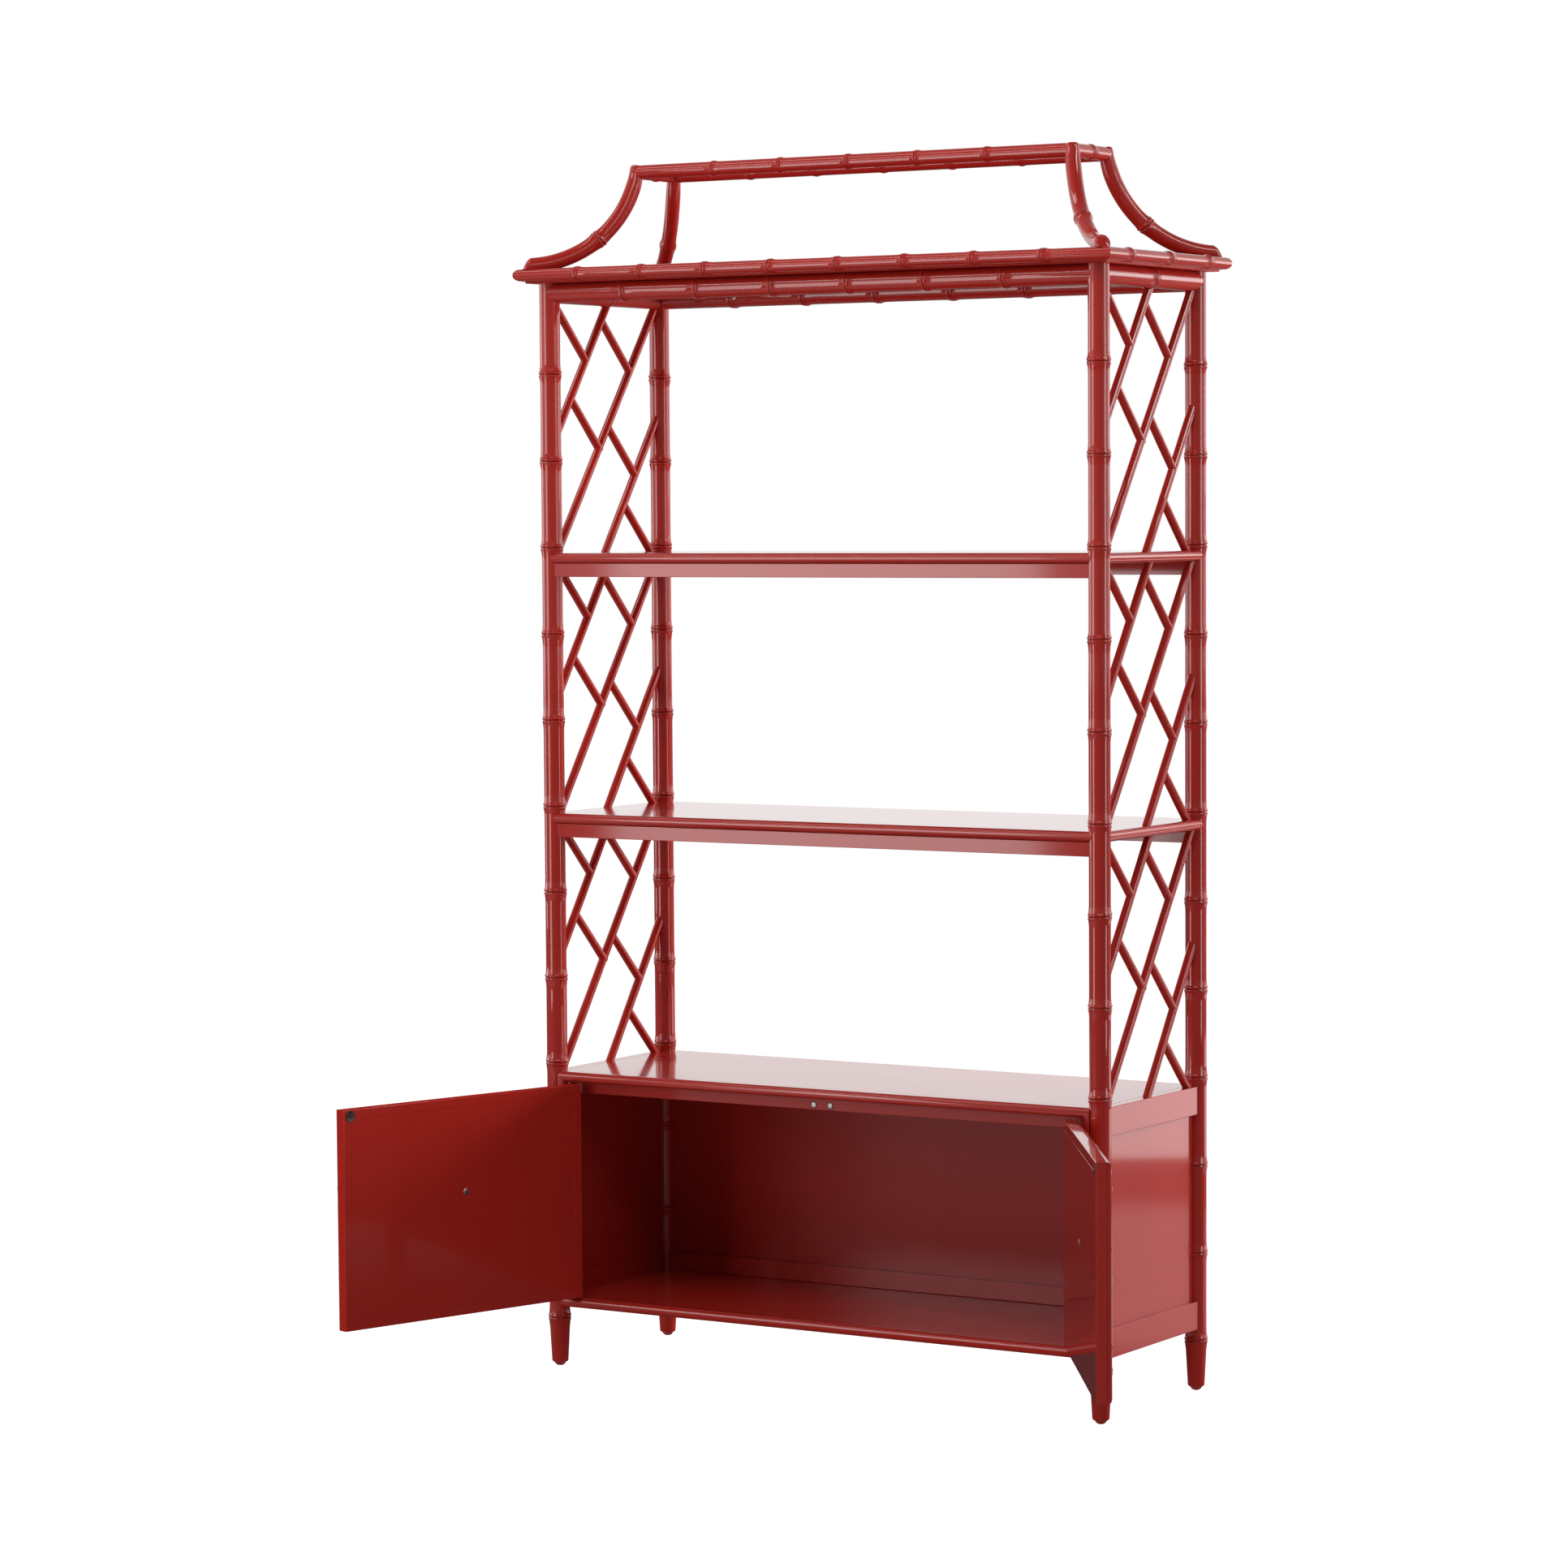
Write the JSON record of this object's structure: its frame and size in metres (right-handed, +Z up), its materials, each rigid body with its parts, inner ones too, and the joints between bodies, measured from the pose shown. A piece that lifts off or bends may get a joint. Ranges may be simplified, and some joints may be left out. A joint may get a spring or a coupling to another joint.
{
  "type": "faux bamboo etagere",
  "caption": "Tall open shelf unit of ringed bamboo-style posts with fretwork sides, a pagoda crest, and a low cabinet with hinged doors, for display and storage.",
  "frame": {"origin": "on the floor, under the middle of the box round the whole piece with its doors open as pictured", "axes": "+Z up, -Y the front where the doors are, +X to the right seen from the front"},
  "size_m": [1.458, 0.9078, 2.1344],
  "materials": {
    "red_lacquer": "high-gloss red lacquer over turned wood and board",
    "brass": "satin, lightly worn",
    "magnet_steel": "nickel plated",
    "glide_iron": "dark, dull"
  },
  "bodies": {
    "case": {"back_panel": "red_lacquer", "back_rail": "red_lacquer", "cabinet_floor": "red_lacquer", "cabinet_top": "red_lacquer", "door_frame": "red_lacquer", "front_apron": "red_lacquer", "front_cornice": "red_lacquer", "front_crest_rail": "red_lacquer", "front_left_crest_leg": "red_lacquer", "front_left_glide": "glide_iron", "front_left_post": "red_lacquer", "front_right_crest_leg": "red_lacquer", "front_right_glide": "glide_iron", "front_right_post": "red_lacquer", "header": "red_lacquer", "left_apron": "red_lacquer", "left_cornice": "red_lacquer", "left_crest_rail": "red_lacquer", "left_lower_hinge_pin": "brass", "left_lower_lattice": "red_lacquer", "left_lower_rail": "red_lacquer", "left_middle_lattice": "red_lacquer", "left_side_panel": "red_lacquer", "left_upper_hinge_pin": "brass", "left_upper_lattice": "red_lacquer", "left_upper_rail": "red_lacquer", "lower_shelf": "red_lacquer", "lower_shelf_front_apron": "red_lacquer", "lower_shelf_rear_apron": "red_lacquer", "magnet_catch": "magnet_steel", "rear_apron": "red_lacquer", "rear_cornice": "red_lacquer", "rear_crest_rail": "red_lacquer", "rear_left_crest_leg": "red_lacquer", "rear_left_glide": "glide_iron", "rear_left_post": "red_lacquer", "rear_right_crest_leg": "red_lacquer", "rear_right_glide": "glide_iron", "rear_right_post": "red_lacquer", "right_apron": "red_lacquer", "right_cornice": "red_lacquer", "right_crest_rail": "red_lacquer", "right_lower_hinge_pin": "brass", "right_lower_lattice": "red_lacquer", "right_lower_rail": "red_lacquer", "right_middle_lattice": "red_lacquer", "right_side_panel": "red_lacquer", "right_upper_hinge_pin": "brass", "right_upper_lattice": "red_lacquer", "right_upper_rail": "red_lacquer", "top_panel": "red_lacquer", "upper_shelf": "red_lacquer", "upper_shelf_front_apron": "red_lacquer", "upper_shelf_rear_apron": "red_lacquer"},
    "left_door": {"left_door": "red_lacquer", "left_door_knob": "brass", "left_door_moulding": "red_lacquer"},
    "right_door": {"right_door": "red_lacquer", "right_door_knob": "brass", "right_door_moulding": "red_lacquer"}
  },
  "joints": [
    {"name": "left_door_hinge", "type": "hinge", "parent": "case", "child": "left_door", "pos_m": [-0.57684, 0.0391, 0.32], "axis": [0, 0, 1], "range_deg": [-28, 107]},
    {"name": "right_door_hinge", "type": "hinge", "parent": "case", "child": "right_door", "pos_m": [0.44306, 0.0391, 0.32], "axis": [0, 0, 1], "range_deg": [-124, 11]}
  ]
}
